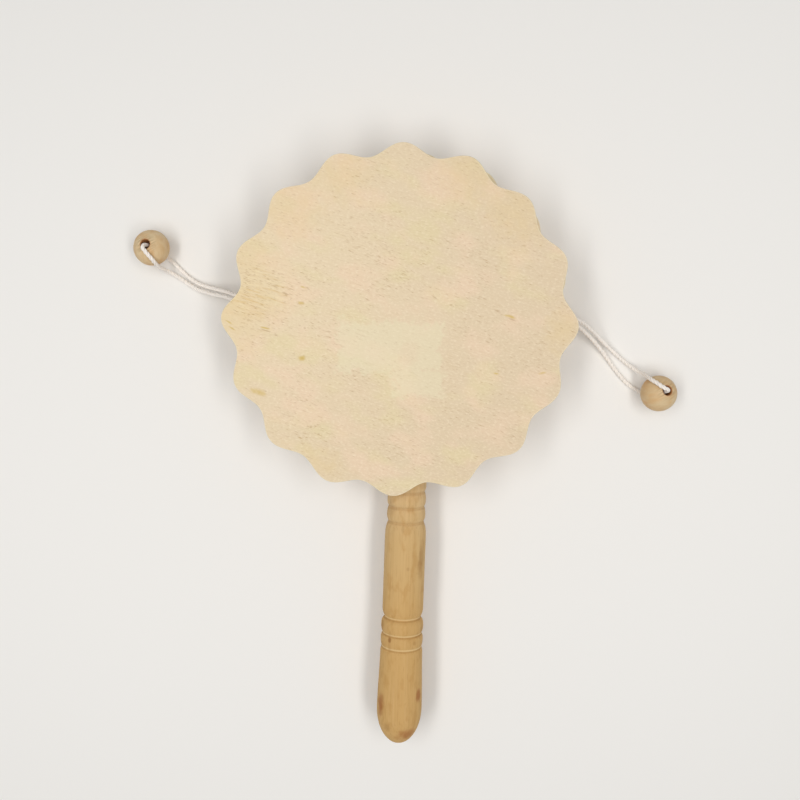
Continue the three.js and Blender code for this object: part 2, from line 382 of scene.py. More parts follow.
def drill(piece, radius, place, heading):
    clear_selection()
    bpy.ops.mesh.primitive_cylinder_add(
        vertices=bit_sides, radius=radius, depth=bit_length, location=place,
        rotation=(math.pi / 2, 0, heading))
    bit = bpy.context.object
    clear_selection()
    bpy.context.view_layer.objects.active = piece
    piece.select_set(True)
    apply_modifier(piece, "BOOLEAN", object=bit, operation="DIFFERENCE", solver="EXACT")
    bpy.data.objects.remove(bit)


clear_selection()
bpy.ops.mesh.primitive_cylinder_add(
    vertices=hoop_sides, radius=hoop_radius, depth=hoop_height, location=(0, 0, axis_height))
hoop = begin("hoop_ring")
choose(hoop, "faces", lambda face: abs(face.normal.z) > 0.5)
bpy.ops.mesh.inset(thickness=hoop_wall)
bpy.ops.mesh.bridge_edge_loops()
bpy.ops.object.mode_set(mode="OBJECT")
drill(hoop, tenon_radius + tenon_room, handle_root, handle_lean)
for side in (-1, 1):
    drill(hoop, string_hole_radius, (side * hoop_radius, string_hole_place, axis_height), math.pi / 2)
settle(hoop, "hoop", smooth_below=25)

# %% [markdown]
# ## The handle
# The handle was turned on a lathe, so every cut is a circle round one axis. The same happens here: a
# circle the size of the tenon is drawn out along the axis, row by row, and each new row is scaled to
# the radius of the profile there. The profile is a few plain diameters joined smoothly, with six
# grooves cut into it. The chisel went in from the drum's side, so a lower groove falls slowly and
# rises steeply. Rows stand close at the grooves and far apart on the plain lengths. A Screw modifier
# could sweep a drawn profile round the axis, but a profile that is a function is easier to change. The
# handle is turned along -Y from the middle, and then put in its hole, where it leans a little.

# %% The handle's profile
shoulder = 0.3 * MM
neck_radius = 6.35 * MM
grip_radius = 6.8 * MM
collar_radius = 7.05 * MM
swell_radius = 7.57 * MM
grip_rise = 4.5 * MM
end_length = 12.3 * MM
handle_length = -hoop_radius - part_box("handle")[0][1]
end_start = handle_length - end_length
grooves_mm = [
    {"at": 10.6, "depth": 0.5, "near": 1.7, "far": 2.5},
    {"at": 15.6, "depth": 0.5, "near": 1.7, "far": 2.5},
    {"at": 20.6, "depth": 0.55, "near": 1.9, "far": 2.5},
    {"at": 53.3, "depth": 0.9, "near": 3.0, "far": 1.4},
    {"at": 58.8, "depth": 0.6, "near": 2.4, "far": 1.4},
    {"at": 63.5, "depth": 0.4, "near": 2.6, "far": 1.6},
]
groove_places = [groove["at"] * MM for groove in grooves_mm]
groove_sharpness = 1.8
tenon_length = hoop_wall - 0.6 * MM
lower_bead_length = groove_places[4] - groove_places[3]
stations = [
    (shoulder, neck_radius),
    (groove_places[2], neck_radius),
    (groove_places[2] + grip_rise, grip_radius),
    (groove_places[3], grip_radius),
    (groove_places[3] + lower_bead_length / 2, collar_radius),
    (groove_places[5], collar_radius),
    (end_start, swell_radius),
]
print("handle:", round(handle_length / MM, 1), "mm long, swell", round(2 * swell_radius / MM, 1), "mm")

# %% Radius and rows along the handle
rows_near_grooves = [
    {"within": 0.6 * MM, "step": 0.15 * MM},
    {"within": 3.2 * MM, "step": 0.4 * MM},
]
plain_step = 2 * MM
end_rows = 24


def turned_radius(place):
    """The handle's radius at a distance from the hoop."""
    if place > end_start:
        return swell_radius * math.sqrt(max(0, 1 - ((place - end_start) / end_length) ** 2))
    for (start, start_radius), (end, end_radius) in zip(stations, stations[1:]):
        if start <= place <= end:
            share = (place - start) / (end - start)
            radius = start_radius + (end_radius - start_radius) * share * share * (3 - 2 * share)
    dip = 0
    for groove in grooves_mm:
        away = place / MM - groove["at"]
        away = -away / groove["near"] if away < 0 else away / groove["far"]
        if away < 1:
            dip = max(dip, groove["depth"] * MM * (1 - away) ** groove_sharpness)
    return radius - dip


def row_step(place):
    """How far away the next row stands, which is less near a groove."""
    nearest = min(abs(place - groove) for groove in groove_places)
    for zone in rows_near_grooves:
        if nearest < zone["within"]:
            return zone["step"]
    return plain_step


def turned_rows():
    """Where the rows stand along the axis, closer together near a groove or the rounded end."""
    rows, place = [], shoulder
    while place < end_start:
        rows.append(place)
        place += row_step(place)
    rows += [end_start + end_length * math.sin(math.pi / 2 * i / end_rows) for i in range(end_rows)]
    return rows


# %% Turn the handle
handle_sides = 96
clear_selection()
bpy.ops.mesh.primitive_circle_add(
    vertices=handle_sides, radius=tenon_radius, fill_type="NGON",
    location=(0, tenon_length, 0), rotation=(math.pi / 2, 0, 0))
handle = begin("handle_turned")
bpy.ops.mesh.select_all(action="SELECT")


def draw_out(start, start_radius, end, end_radius):
    """Extrude the last row along the axis and scale it to its new radius."""
    bpy.ops.mesh.extrude_region_move(TRANSFORM_OT_translate={"value": (0, start - end, 0)})
    scale = end_radius / start_radius
    bpy.ops.transform.resize(value=(scale, 1, scale), center_override=(0, -end, 0))


draw_out(-tenon_length, tenon_radius, shoulder, tenon_radius)
row, row_radius = shoulder, tenon_radius
rows = turned_rows()
for next_row in rows:
    next_radius = turned_radius(next_row)
    draw_out(row, row_radius, next_row, next_radius)
    row, row_radius = next_row, next_radius
bpy.ops.mesh.extrude_region_move(TRANSFORM_OT_translate={"value": (0, row - handle_length, 0)})
bpy.ops.mesh.merge(type="CENTER")
bpy.ops.object.mode_set(mode="OBJECT")
handle.location = handle_root
handle.rotation_euler.z = handle_lean
settle(handle, "handle", smooth_below=60)
print("rows along the handle:", len(rows))

# %% [markdown]
# ## The beads
# A bead is a ball with a drilled hole. The ball is a sphere with its poles on the axis of the hole.
# The faces round both poles come off, the two open rings are joined through the middle, and the
# sharp mouths are eased with a bevel. A Boolean could drill the hole, but it leaves uneven faces round
# the mouths, which spoil the bevel. Each string gets a copy with its own mesh.

# %% Turn and drill a bead
bead_radius = 5.9 * MM
bead_hole_radius = 1.55 * MM
bead_mouth_easing = 0.35 * MM
sharp_mouth = math.radians(50)
bead_sides = 64
bead_rings = 48
polar_reach = bead_hole_radius * 0.98
clear_selection()
bpy.ops.mesh.primitive_uv_sphere_add(segments=bead_sides, ring_count=bead_rings, radius=bead_radius)
bead = begin("bead_turned")
choose(bead, "faces", lambda face: face.calc_center_median().xy.length < polar_reach)
bpy.ops.mesh.delete(type="FACE")
choose(bead, "edges", lambda edge: edge.is_boundary)
bpy.ops.mesh.bridge_edge_loops(number_cuts=6)
bpy.ops.object.mode_set(mode="OBJECT")
apply_modifier(bead, "BEVEL", width=bead_mouth_easing, segments=3, limit_method="ANGLE",
               angle_limit=sharp_mouth)
print("bead:", round(2 * bead_radius / MM, 1), "mm, hole", round(2 * bead_hole_radius / MM, 1), "mm")

# %% Thread a bead on each string
bead_poses = {
    "left": {"tilt": math.radians(10.4), "heading": math.radians(116.3)},
    "right": {"tilt": math.radians(22.9), "heading": math.radians(41.9)},
}
beads = {}


def box_middle(node):
    low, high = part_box(node)
    return (Vector(low) + Vector(high)) / 2


for side, pose in bead_poses.items():
    clear_selection()
    copy = bpy.data.objects.new("bead_" + side + "_turned", bead.data.copy())
    bpy.context.scene.collection.objects.link(copy)
    bpy.context.view_layer.objects.active = copy
    copy.select_set(True)
    copy.rotation_euler = (0, pose["tilt"], pose["heading"])
    copy.location = box_middle("bead_" + side)
    settle(copy, "bead_" + side)
    beads[side] = copy
bpy.data.objects.remove(bead)

hidden_in_hoop = 4.5 * MM
for side, (twine, line, length) in strings.items():
    exit_point = line[round(hidden_in_hoop / ring_spacing)]
    print(twine.name, "leaves the hoop at", [round(part / MM, 1) for part in exit_point])

# %% [markdown]
# ## Finishes
# A finish is a small tree of shader nodes. They could be added and linked one by one, but an
# expression says the same in a line. So arithmetic on values is written as plain Python: the class
# Value wraps a socket, and every operator adds Math nodes. Any other node comes from Finish.node,
# which sets the node's settings first and then its sockets.

# %% Shader arithmetic


class Value:
    """An output socket that can be added, multiplied and so on like a number."""

    def __init__(self, finish, socket):
        self.finish = finish
        self.socket = socket

    def math(self, operation, *others):
        inputs = dict(enumerate((self,) + others))
        return self.finish.node("ShaderNodeMath", {"operation": operation}, inputs)

    def __add__(self, other):
        return self.math("ADD", other)

    def __sub__(self, other):
        return self.math("SUBTRACT", other)

    def __rsub__(self, other):
        return (self * -1) + other

    def __mul__(self, other):
        return self.math("MULTIPLY", other)

    def __truediv__(self, other):
        return self.math("DIVIDE", other)

    __radd__ = __add__
    __rmul__ = __mul__

    def step(self, low, high):
        """0 below low, 1 above high, and smooth between them."""
        settings = {"interpolation_type": "SMOOTHSTEP"}
        return self.finish.node("ShaderNodeMapRange", settings, {0: self, 1: low, 2: high})

    def part(self, axis):
        """One coordinate of a vector: 0 is X, 1 is Y and 2 is Z."""
        return self.finish.node("ShaderNodeSeparateXYZ", None, {0: self}, output=axis)

    def length(self):
        return self.finish.node("ShaderNodeVectorMath", {"operation": "LENGTH"}, {0: self}, output="Value")


# %% One finish and its nodes


class Finish:
    """A material with its Principled shader, and the helpers that add nodes to it."""

    def __init__(self, name):
        self.material = bpy.data.materials.new(name)
        self.material.use_nodes = True
        self.tree = self.material.node_tree
        self.shader = next(node for node in self.tree.nodes if node.type == "BSDF_PRINCIPLED")
        self.place = self.node("ShaderNodeTexCoord", output="Object")

    def node(self, kind, settings=None, inputs=None, output=0):
        """Add a node and give one of its outputs. Inputs are numbers, colours or other values."""
        node = self.tree.nodes.new(kind)
        for setting, value in (settings or {}).items():
            setattr(node, setting, value)
        for socket, value in (inputs or {}).items():
            self.feed(node.inputs[socket], value)
        return Value(self, node.outputs[output])

    def feed(self, socket, value):
        if isinstance(value, Value):
            self.tree.links.new(value.socket, socket)
        elif isinstance(value, tuple) and len(value) == 3 and socket.type == "RGBA":
            socket.default_value = (*value, 1)
        else:
            socket.default_value = value

    def stretched(self, size, turn=(0, 0, 0), centre=(0, 0, 0)):
        """Object coordinates turned to the grain and measured in the size of one feature."""
        inputs = {"Vector": self.place, "Location": centre, "Rotation": turn, "Scale": size}
        return self.node("ShaderNodeMapping", {"vector_type": "TEXTURE"}, inputs)

    def away(self, middle_mm, half_size_mm, turn=(0, 0, 0)):
        """How far a point is from the middle of a spot, where 1 is the spot's edge."""
        middle = tuple(part * MM for part in middle_mm)
        return self.stretched(tuple(part * MM for part in half_size_mm), turn, middle).length()

    def noise(self, size, turn=(0, 0, 0), centre=(0, 0, 0), detail=3.0, roughness=0.5):
        vector = self.stretched(size, turn, centre)
        inputs = {"Vector": vector, "Scale": 1.0, "Detail": detail, "Roughness": roughness}
        return self.node("ShaderNodeTexNoise", {"noise_dimensions": "3D"}, inputs)

    def mix(self, first, second, factor):
        """The first colour where factor is 0 and the second where it is 1."""
        return self.node("ShaderNodeMix", {"data_type": "RGBA"}, {0: factor, 6: first, 7: second}, output=2)

    def finish(self, colour, roughness, height, bump_distance):
        """Feed the shader and give the material. The bump is as deep as bump_distance."""
        self.feed(self.shader.inputs["Base Color"], colour)
        self.feed(self.shader.inputs["Roughness"], roughness)
        inputs = {"Height": height, "Distance": bump_distance, "Strength": 1.0}
        self.feed(self.shader.inputs["Normal"], self.node("ShaderNodeBump", None, inputs))
        return self.material


# %% Colours, and dressing a piece


def tint(red, green, blue):
    """A colour given as the eye reads it, from 0 to 255, turned into linear light."""
    def linear(level):
        level /= 255
        return level / 12.92 if level <= 0.04045 else ((level + 0.055) / 1.055) ** 2.4
    return (linear(red), linear(green), linear(blue))


def dress(piece, material):
    """Take off the finish that a piece came with and give it this one."""
    piece.data.materials.clear()
    piece.data.materials.append(material)
    print(piece.name, "is finished with", material.name, "of", len(material.node_tree.nodes), "nodes")


# %% [markdown]
# ## Plywood
# The outer ply is a pale, close-grained veneer, almost flat in colour. Painted shade makes the front plate
# a little deeper towards the right and towards the handle, and painted light makes the back plate paler
# where the front plate shades it. Its fibres fall to the right, but all that shows of them is a fine mottle
# and short thin pores. At the left rim the grain runs in waves and the pores crowd together, and several
# lobes are a little golden. There are a few ochre flecks, some dark ticks and a ragged paler patch below
# the middle. The edge shows three plies, and the middle one is darker because it shows end grain. The
# broken corner along the top is paler, partly as sanded wood and partly as a painted highlight. A painted
# picture could hold all that, but it would stop at the edge and blur close up. Noise gives whatever repeats
# without a plan, squeezed across the grain for the fibres, and what stands alone on the real plate is
# placed one by one.

# %% What stands alone on the front plate
grain_turn = math.radians(-13.5)
pore_turn = math.radians(-19)
ochre_flecks_mm = [
    {"x": -42.1, "y": -2.9, "long": 3.4, "wide": 0.6, "angle": -12},
    {"x": 34.7, "y": 2.8, "long": 4.0, "wide": 1.0, "angle": -16},
    {"x": -30.3, "y": 5.1, "long": 2.8, "wide": 1.3, "angle": -8},
    {"x": -30.0, "y": 10.1, "long": 2.6, "wide": 0.7, "angle": -14},
    {"x": -29.9, "y": -12.1, "long": 2.4, "wide": 1.7, "angle": 0},
    {"x": -43.7, "y": -23.2, "long": 5.6, "wide": 2.3, "angle": -12},
    {"x": -53.4, "y": -1.4, "long": 3.2, "wide": 0.6, "angle": -30},
    {"x": -52.2, "y": -3.4, "long": 2.6, "wide": 0.6, "angle": -30},
    {"x": 31.0, "y": -15.0, "long": 2.2, "wide": 0.6, "angle": -10},
    {"x": 45.4, "y": -14.4, "long": 2.8, "wide": 1.0, "angle": 12},
]
dark_ticks_mm = [
    {"x": -41.4, "y": -3.8, "long": 3.6, "wide": 0.4, "angle": -16},
    {"x": -38.3, "y": -5.1, "long": 1.8, "wide": 0.6, "angle": -20},
    {"x": 11.2, "y": 8.0, "long": 2.2, "wide": 0.55, "angle": -30},
    {"x": -35.6, "y": 8.0, "long": 2.2, "wide": 0.6, "angle": -22},
    {"x": -38.9, "y": 10.1, "long": 2.6, "wide": 0.6, "angle": -26},
    {"x": -41.0, "y": 12.3, "long": 1.4, "wide": 0.6, "angle": -24},
    {"x": 26.7, "y": 8.0, "long": 2.0, "wide": 0.5, "angle": -20},
    {"x": 30.6, "y": 4.4, "long": 2.4, "wide": 0.5, "angle": -22},
    {"x": 35.2, "y": 1.9, "long": 3.2, "wide": 0.5, "angle": -16},
    {"x": 28.2, "y": -5.3, "long": 2.2, "wide": 0.5, "angle": -20},
    {"x": 16.3, "y": 5.8, "long": 1.0, "wide": 0.8, "angle": 0},
    {"x": -26.7, "y": -33.8, "long": 1.0, "wide": 0.8, "angle": 0},
    {"x": -24.1, "y": -36.0, "long": 1.0, "wide": 0.8, "angle": 0},
]
crowded_mm = {"middle": (-44, 8, 26), "half_size": (13, 10, 20)}
golden_lobes_mm = [
    {"x": -54.0, "y": 2.0, "long": 34, "wide": 30, "angle": 0},
    {"x": -47.0, "y": 19.0, "long": 18, "wide": 16, "angle": 0},
    {"x": -34.0, "y": 34.0, "long": 26, "wide": 22, "angle": 45},
    {"x": -19.0, "y": 44.5, "long": 26, "wide": 20, "angle": 20},
    {"x": 20.5, "y": 45.0, "long": 26, "wide": 20, "angle": -20},
    {"x": 35.5, "y": 34.0, "long": 26, "wide": 20, "angle": -45},
    {"x": 50.5, "y": -1.0, "long": 16, "wide": 12, "angle": 80},
    {"x": -23.5, "y": -45.0, "long": 18, "wide": 12, "angle": -20},
]
pale_blocks_mm = [{"low": (-18.8, -15.7), "high": (14.2, 0.2)}, {"low": (-1.4, -23.5), "high": (14.5, -14)}]
pale_gap_mm = {"middle": (3.2, -9.6, 26), "half_size": (2.8, 3.2, 20)}
print("flecks:", len(ochre_flecks_mm), "ticks:", len(dark_ticks_mm), "golden:", len(golden_lobes_mm))

# %% Finding a mark or a block
mark_half_height_mm = 50


def nearest_mark(wood, marks_mm):
    """How far the nearest mark is, where 1 is its edge."""
    nearest = None
    for mark in marks_mm:
        half_size = (mark["long"] / 2, mark["wide"] / 2, mark_half_height_mm)
        away = wood.away((mark["x"], mark["y"], 0), half_size, (0, 0, math.radians(mark["angle"])))
        nearest = nearest.math("MINIMUM", away) if nearest else away
    return nearest


def past_block(wood, low, high):
    """How far a point is outside a block of the plate, in metres, and below 0 inside it."""
    gaps = []
    for axis in (0, 1):
        middle = (low[axis] + high[axis]) / 2 * MM
        half = (high[axis] - low[axis]) / 2 * MM
        gaps.append((wood.place.part(axis) - middle).math("ABSOLUTE") - half)
    return gaps[0].math("MAXIMUM", gaps[1])


# %% The veneer, much the same on both plates
def ground_colour_and_painted_light(wood, front):
    """The wood before any grain. The back plate is painted paler, as painted light in the shade of the
    front plate. The front plate gets painted shade that deepens it to the right and downwards.
    """
    if not front:
        # Painted light: the back plate's ground is paler than the front's, to lift the shade it lies in.
        return tint(234, 219, 180)
    # Painted shade: the front plate darkens towards the right and towards the handle.
    side = wood.place.part(0).step(-52 * MM, 52 * MM)
    colour = wood.mix(tint(230, 209, 175), tint(221, 199, 167), side)
    low = 1 - wood.place.part(1).step(-55 * MM, 10 * MM)
    return wood.mix(colour, tint(214, 192, 160), low * 0.45)


def veneer(wood, colour, grain):
    """Soft clouds, a fine mottle and fibres. Gives the colour, the mottle and the fibres."""
    cloud = wood.noise((17 * MM, 9 * MM, 17 * MM), grain, detail=2)
    colour = wood.mix(colour, tint(224, 208, 160), cloud.step(0.46, 0.68) * 0.5)
    blush = wood.noise((14 * MM, 11 * MM, 14 * MM), grain, centre=(0.4, 0, 0), detail=2)
    colour = wood.mix(colour, tint(238, 206, 178), blush.step(0.46, 0.68) * 0.45)
    mottle = wood.noise((1.0 * MM, 0.6 * MM, 1.0 * MM), grain, detail=3, roughness=0.6)
    colour = wood.mix(colour, tint(247, 231, 205), mottle.step(0.45, 0.75) * 0.42)
    fibre = wood.noise((5 * MM, 0.3 * MM, 5 * MM), grain, centre=(0.1, 0, 0), detail=3, roughness=0.6)
    colour = wood.mix(colour, tint(208, 180, 138), fibre.step(0.5, 0.8) * 0.4)
    return colour, mottle, fibre


def veneer_pores(wood, grain, pore_grain):
    """Short thin pores, which stand closer in some places than in others."""
    drift = wood.noise((15 * MM, 9 * MM, 15 * MM), grain, centre=(0.3, 0.1, 0), detail=1) - 0.5
    pore = wood.noise((1.7 * MM, 0.22 * MM, 3 * MM), pore_grain, centre=(0.05, 0, 0), detail=1)
    return pore + drift * 0.2


# %% The left rim and the golden lobes
def wavy_rim(wood, colour, pore, grain, wander):
    """Waves and crowded pores at the left rim, and gold on some lobes. Gives colour and pores."""
    crowd = 1 - wood.away(crowded_mm["middle"], crowded_mm["half_size"]).step(0.4, 1.2)
    colour = wood.mix(colour, tint(228, 204, 152), crowd * 0.2)
    golden = 1 - (nearest_mark(wood, golden_lobes_mm) + wander).step(0.3, 1.3)
    colour = wood.mix(colour, tint(226, 198, 138), golden * 0.3)
    wave_size = (6 * MM, 0.7 * MM, 6 * MM)
    wave = wood.noise(wave_size, grain, centre=(0.2, 5 * MM, 0), detail=2, roughness=0.6)
    colour = wood.mix(colour, tint(216, 180, 112), crowd * wave.step(0.5, 0.7) * 0.4)
    colour = wood.mix(colour, tint(243, 223, 180), crowd * (1 - wave.step(0.3, 0.48)) * 0.4)
    return colour, pore + crowd * 0.06


# %% The pale patch, the flecks and the ticks
def pale_patch(wood, colour, wander):
    """Two blocks of paler wood with ragged edges, half as strong in the gap inside them."""
    blocks = [past_block(wood, block["low"], block["high"]) for block in pale_blocks_mm]
    gap = wood.away(pale_gap_mm["middle"], pale_gap_mm["half_size"])
    edge = blocks[0].math("MINIMUM", blocks[1]) + wander * (9 * MM)
    pale = (1 - edge.step(-1.2 * MM, 1.0 * MM)) * ((gap + wander * 2).step(0.5, 1.6) * 0.5 + 0.5)
    return wood.mix(colour, tint(230, 220, 185), pale * 0.42)


def lone_marks(wood, colour, pores, wander):
    """Ochre flecks, and dark ticks that are as deep as pores. Gives the colour and the pores."""
    ochre = 1 - (nearest_mark(wood, ochre_flecks_mm) + wander * 1.2).step(0.2, 1.4)
    colour = wood.mix(colour, tint(206, 174, 82), ochre * 0.85)
    ticks = 1 - (nearest_mark(wood, dark_ticks_mm) + wander).step(0.3, 1.4)
    colour = wood.mix(colour, tint(164, 122, 70), ticks * 0.42)
    return colour, pores.math("MAXIMUM", ticks)


# %% The sawn edge
plate_thickness = 3 * MM


def sawn_edge(wood, colour, floor_height):
    """The broken corner is paler, partly as sanded wood and partly as a painted highlight, and the middle
    ply is darker.
    """
    facing = wood.node("ShaderNodeTexCoord", output="Normal").part(2)
    # Painted highlight: the slanting faces of the broken corner are painted paler, partly as sanded wood.
    sanded_and_painted_highlight = facing.step(0.3, 0.6) * (1 - facing.step(0.9, 0.99))
    colour = wood.mix(colour, tint(243, 229, 196), sanded_and_painted_highlight * 0.7)
    depth = (wood.place.part(2) - floor_height) / plate_thickness
    core = depth.step(0.3, 0.34) * (1 - depth.step(0.66, 0.7))
    return wood.mix(colour, tint(192, 156, 112), core * 0.8)


# %% Plywood finish
veneer_relief = 0.05 * MM
back_grain_turn = math.radians(37)


def plywood(name, floor_height, front, turn):
    wood = Finish(name)
    grain = (0, 0, grain_turn + turn)
    wander = wood.noise((2.5 * MM, 2.5 * MM, 2.5 * MM), detail=3) - 0.5
    colour, mottle, fibre = veneer(wood, ground_colour_and_painted_light(wood, front), grain)
    pore = veneer_pores(wood, grain, (0, 0, pore_turn + turn))
    if front:
        colour, pore = wavy_rim(wood, colour, pore, grain, wander)
    pores = pore.step(0.64, 0.8)
    colour = wood.mix(colour, tint(188, 150, 100), pores * 0.6)
    if front:
        colour = pale_patch(wood, colour, wander)
        colour, pores = lone_marks(wood, colour, pores, wander)
    colour = sawn_edge(wood, colour, floor_height)
    height = mottle * 0.3 + fibre * 0.4 - pores * 0.8
    return wood.finish(colour, 0.64 + fibre * 0.15, height, veneer_relief)


dress(front_plate, plywood("plywood_front", front_plate_floor, True, 0))
dress(back_plate, plywood("plywood_back", 0, False, back_grain_turn))

# %% [markdown]
# ## Turned wood
# The handle is a warmer wood, honey brown and a little paler near the drum, turned smooth so that its
# lengthwise grain shows only as fine faint lines. Painted shade makes the side that lies uppermost a little
# deeper in colour. Along the lower grooves the wall on the drum's side carries a painted highlight, and a
# thin line of painted shade lies at the foot of each groove. Handling has left a few reddish stains near
# the end and duller smudges here and there, and there is one small knot with a faint trail. Bands painted
# on an unwrapped skin would meet in a seam. The distance along the axis places them instead, so each one
# follows its groove all round, and every spot is placed one by one.

# %% Spots on the handle
stains_mm = [
    {"middle": (-2.9, -127.3, 17.3), "half_size": (1.5, 3.8, 1.9), "strength": 0.6},
    {"middle": (9.8, -124.2, 16.9), "half_size": (1.2, 2.2, 1.6), "strength": 0.6},
    {"middle": (6.0, -137.2, 17.5), "half_size": (3.6, 2.4, 2.6), "strength": 0.55},
]
smudges_mm = [
    {"middle": (-0.1, -134.6, 18.8), "half_size": (1.4, 1.6, 1.4), "strength": 0.3},
    {"middle": (-1.2, -60.5, 17.8), "half_size": (1.6, 2.2, 1.8), "strength": 0.22},
    {"middle": (-0.5, -58.2, 17.0), "half_size": (1.2, 1.2, 1.8), "strength": 0.17},
    {"middle": (9.2, -78.5, 17.2), "half_size": (1.0, 6.0, 1.6), "strength": 0.38},
    {"middle": (3.1, -67.2, 19.0), "half_size": (0.5, 1.4, 1.2), "strength": 0.22},
    {"middle": (5.1, -80.4, 19.2), "half_size": (0.5, 0.7, 1.2), "strength": 0.22},
    {"middle": (-3.0, -101.0, 15.5), "half_size": (0.9, 1.8, 1.6), "strength": 0.35},
    {"middle": (10.3, -101.7, 15.5), "half_size": (0.8, 1.4, 1.6), "strength": 0.3},
    {"middle": (7.8, -105.7, 18.0), "half_size": (0.7, 0.8, 1.2), "strength": 0.3},
]
knot_mm = {"middle": (-0.3, -104.9, 18.9), "half_size": (0.6, 0.9, 1.4)}
knot_trail_mm = {"middle": (-0.3, -106.2, 18.9), "half_size": (0.7, 4.2, 1.4)}
print("stains:", len(stains_mm), "smudges:", len(smudges_mm), "and one knot")


def spotted(wood, colour, wander):
    """Stains, smudges, and the knot with its trail, all with ragged edges."""
    for spots, spot_tint in ((stains_mm, tint(144, 66, 8)), (smudges_mm, tint(136, 88, 30))):
        for spot in spots:
            shade = 1 - (wood.away(spot["middle"], spot["half_size"]) + wander * 1.4).step(0.3, 1.4)
            colour = wood.mix(colour, spot_tint, shade * spot["strength"])
    trail = 1 - (wood.away(knot_trail_mm["middle"], knot_trail_mm["half_size"]) + wander).step(0.3, 1.3)
    colour = wood.mix(colour, tint(160, 112, 60), trail * 0.25)
    knot = 1 - (wood.away(knot_mm["middle"], knot_mm["half_size"]) + wander).step(0.4, 1.3)
    return wood.mix(colour, tint(134, 84, 38), knot * 0.62)


# %% Grain and grooves of the handle
def turned_grain(wood, colour):
    """Broad streaks, pale and dark hairs, and blotches. Gives the colour, the streaks and the hairs."""
    streak = wood.noise((1.8 * MM, 60 * MM, 1.8 * MM), detail=2)
    colour = wood.mix(colour, tint(187, 146, 88), streak.step(0.45, 0.75) * 0.3)
    pale = wood.noise((0.7 * MM, 34 * MM, 0.7 * MM), centre=(0, 0.3, 0), detail=2)
    colour = wood.mix(colour, tint(214, 177, 124), pale.step(0.5, 0.78) * 0.3)
    hair = wood.noise((0.3 * MM, 9 * MM, 0.3 * MM), centre=(0.1, 0, 0), detail=3, roughness=0.6)
    colour = wood.mix(colour, tint(165, 121, 68), hair.step(0.5, 0.75) * 0.35)
    blotch = wood.noise((2.5 * MM, 5 * MM, 2.5 * MM), centre=(0.5, 0, 0), detail=3)
    return wood.mix(colour, tint(184, 138, 76), blotch.step(0.5, 0.7) * 0.4), streak, hair


def grooved(wood, colour, reach_mm, streak):
    """Painted shade as a dark line at the foot of each groove, and a painted highlight on the wall where a
    lower groove rises steeply.
    """
    for groove in grooves_mm:
        past = reach_mm - groove["at"]
        steep = groove["far"] < groove["near"]
        # Painted highlight on the drum's side of a steep groove, and painted shade in the crease at its
        # foot.
        painted_highlight_wall = past.step(-0.9, -0.6) * (1 - past.step(-0.35, -0.1))
        painted_shade_foot = 1 - (past - 0.1).math("ABSOLUTE").step(0.15 if steep else 0.35, 0.4 if steep else 0.8)
        if steep:
            colour = wood.mix(colour, tint(232, 204, 152), painted_highlight_wall * (0.28 + streak * 0.5))
        colour = wood.mix(colour, tint(156, 110, 56), painted_shade_foot * (0.35 if steep else 0.22))
    return colour


# %% Handle finish
turned_relief = 0.03 * MM


def turned_wood(name):
    wood = Finish(name)
    reach_mm = (wood.place.part(1) * -1 - hoop_radius) / MM
    colour = wood.mix(tint(217, 187, 140), tint(212, 178, 124), reach_mm.step(9, 30))
    colour = wood.mix(colour, tint(207, 167, 107), reach_mm.step(30, 56))
    # Painted shade: the side facing up is darkened, to flatten the light across the handle.
    painted_shade_on_top = wood.node("ShaderNodeTexCoord", output="Normal").part(2).step(0.5, 1.0)
    colour = wood.mix(colour, tint(186, 144, 88), painted_shade_on_top * 0.3)
    colour, streak, hair = turned_grain(wood, colour)
    colour = grooved(wood, colour, reach_mm, streak)
    wander = wood.noise((2.2 * MM, 3 * MM, 2.2 * MM), detail=3) - 0.5
    colour = spotted(wood, colour, wander)
    wood.shader.inputs["Specular IOR Level"].default_value = 0.25
    return wood.finish(colour, 0.65 + hair * 0.15, streak * 0.2 + hair * 0.3, turned_relief)


dress(handle, turned_wood("handle_wood"))

# %% [markdown]
# ## Hoop and beads
# The hoop is bent from a strip, so its grain runs round it, in thin level lines. The beads are small and
# sanded smooth. Most of a bead shows only a soft cloud, but round the mouth of its hole the year rings were
# cut across and show as fine lines. Inside the hole the wood is painted much browner, as painted shade in
# the hollow. Those faces could be marked on the mesh, but a distance from the hole's axis finds both places
# and fades softly.

# %% Hoop and bead finishes
ring_turn = (0, 0.5, 0.6)
end_grain_in_hole_radii = 2.6
endless_mm = 1000


def plain_wood(name, light, dark, pore_colour, size, turn, roughness, hole=None):
    wood = Finish(name)
    streak = wood.noise(size, turn, detail=2)
    fine = wood.noise(tuple(part * 0.3 for part in size), turn, centre=(0.1, 0.2, 0), detail=3)
    colour = wood.mix(light, dark, streak.step(0.3, 0.75))
    colour = wood.mix(colour, pore_colour, fine.step(0.55, 0.8) * 0.3)
    if hole:
        middle, hole_turn = hole
        width = bead_hole_radius / MM
        reach = end_grain_in_hole_radii * width
        end_grain = 1 - wood.away(middle, (reach, reach, endless_mm), hole_turn).step(0.5, 1.1)
        rings = wood.noise((5 * MM, 0.45 * MM, 5 * MM), ring_turn, centre=(0.2, 0, 0), detail=1)
        colour = wood.mix(colour, tint(146, 122, 86), end_grain * rings.step(0.42, 0.6) * 0.4)
        # Painted shade: the inside of the hole, a hollow, is painted dark brown.
        painted_shade_in_hole = 1 - wood.away(middle, (width, width, endless_mm), hole_turn).step(1.05, 1.28)
        colour = wood.mix(colour, tint(163, 104, 56), painted_shade_in_hole * 0.9)
    wood.shader.inputs["Specular IOR Level"].default_value = 0.3
    return wood.finish(colour, roughness + fine * 0.15, streak * 0.3 + fine * 0.5, turned_relief)


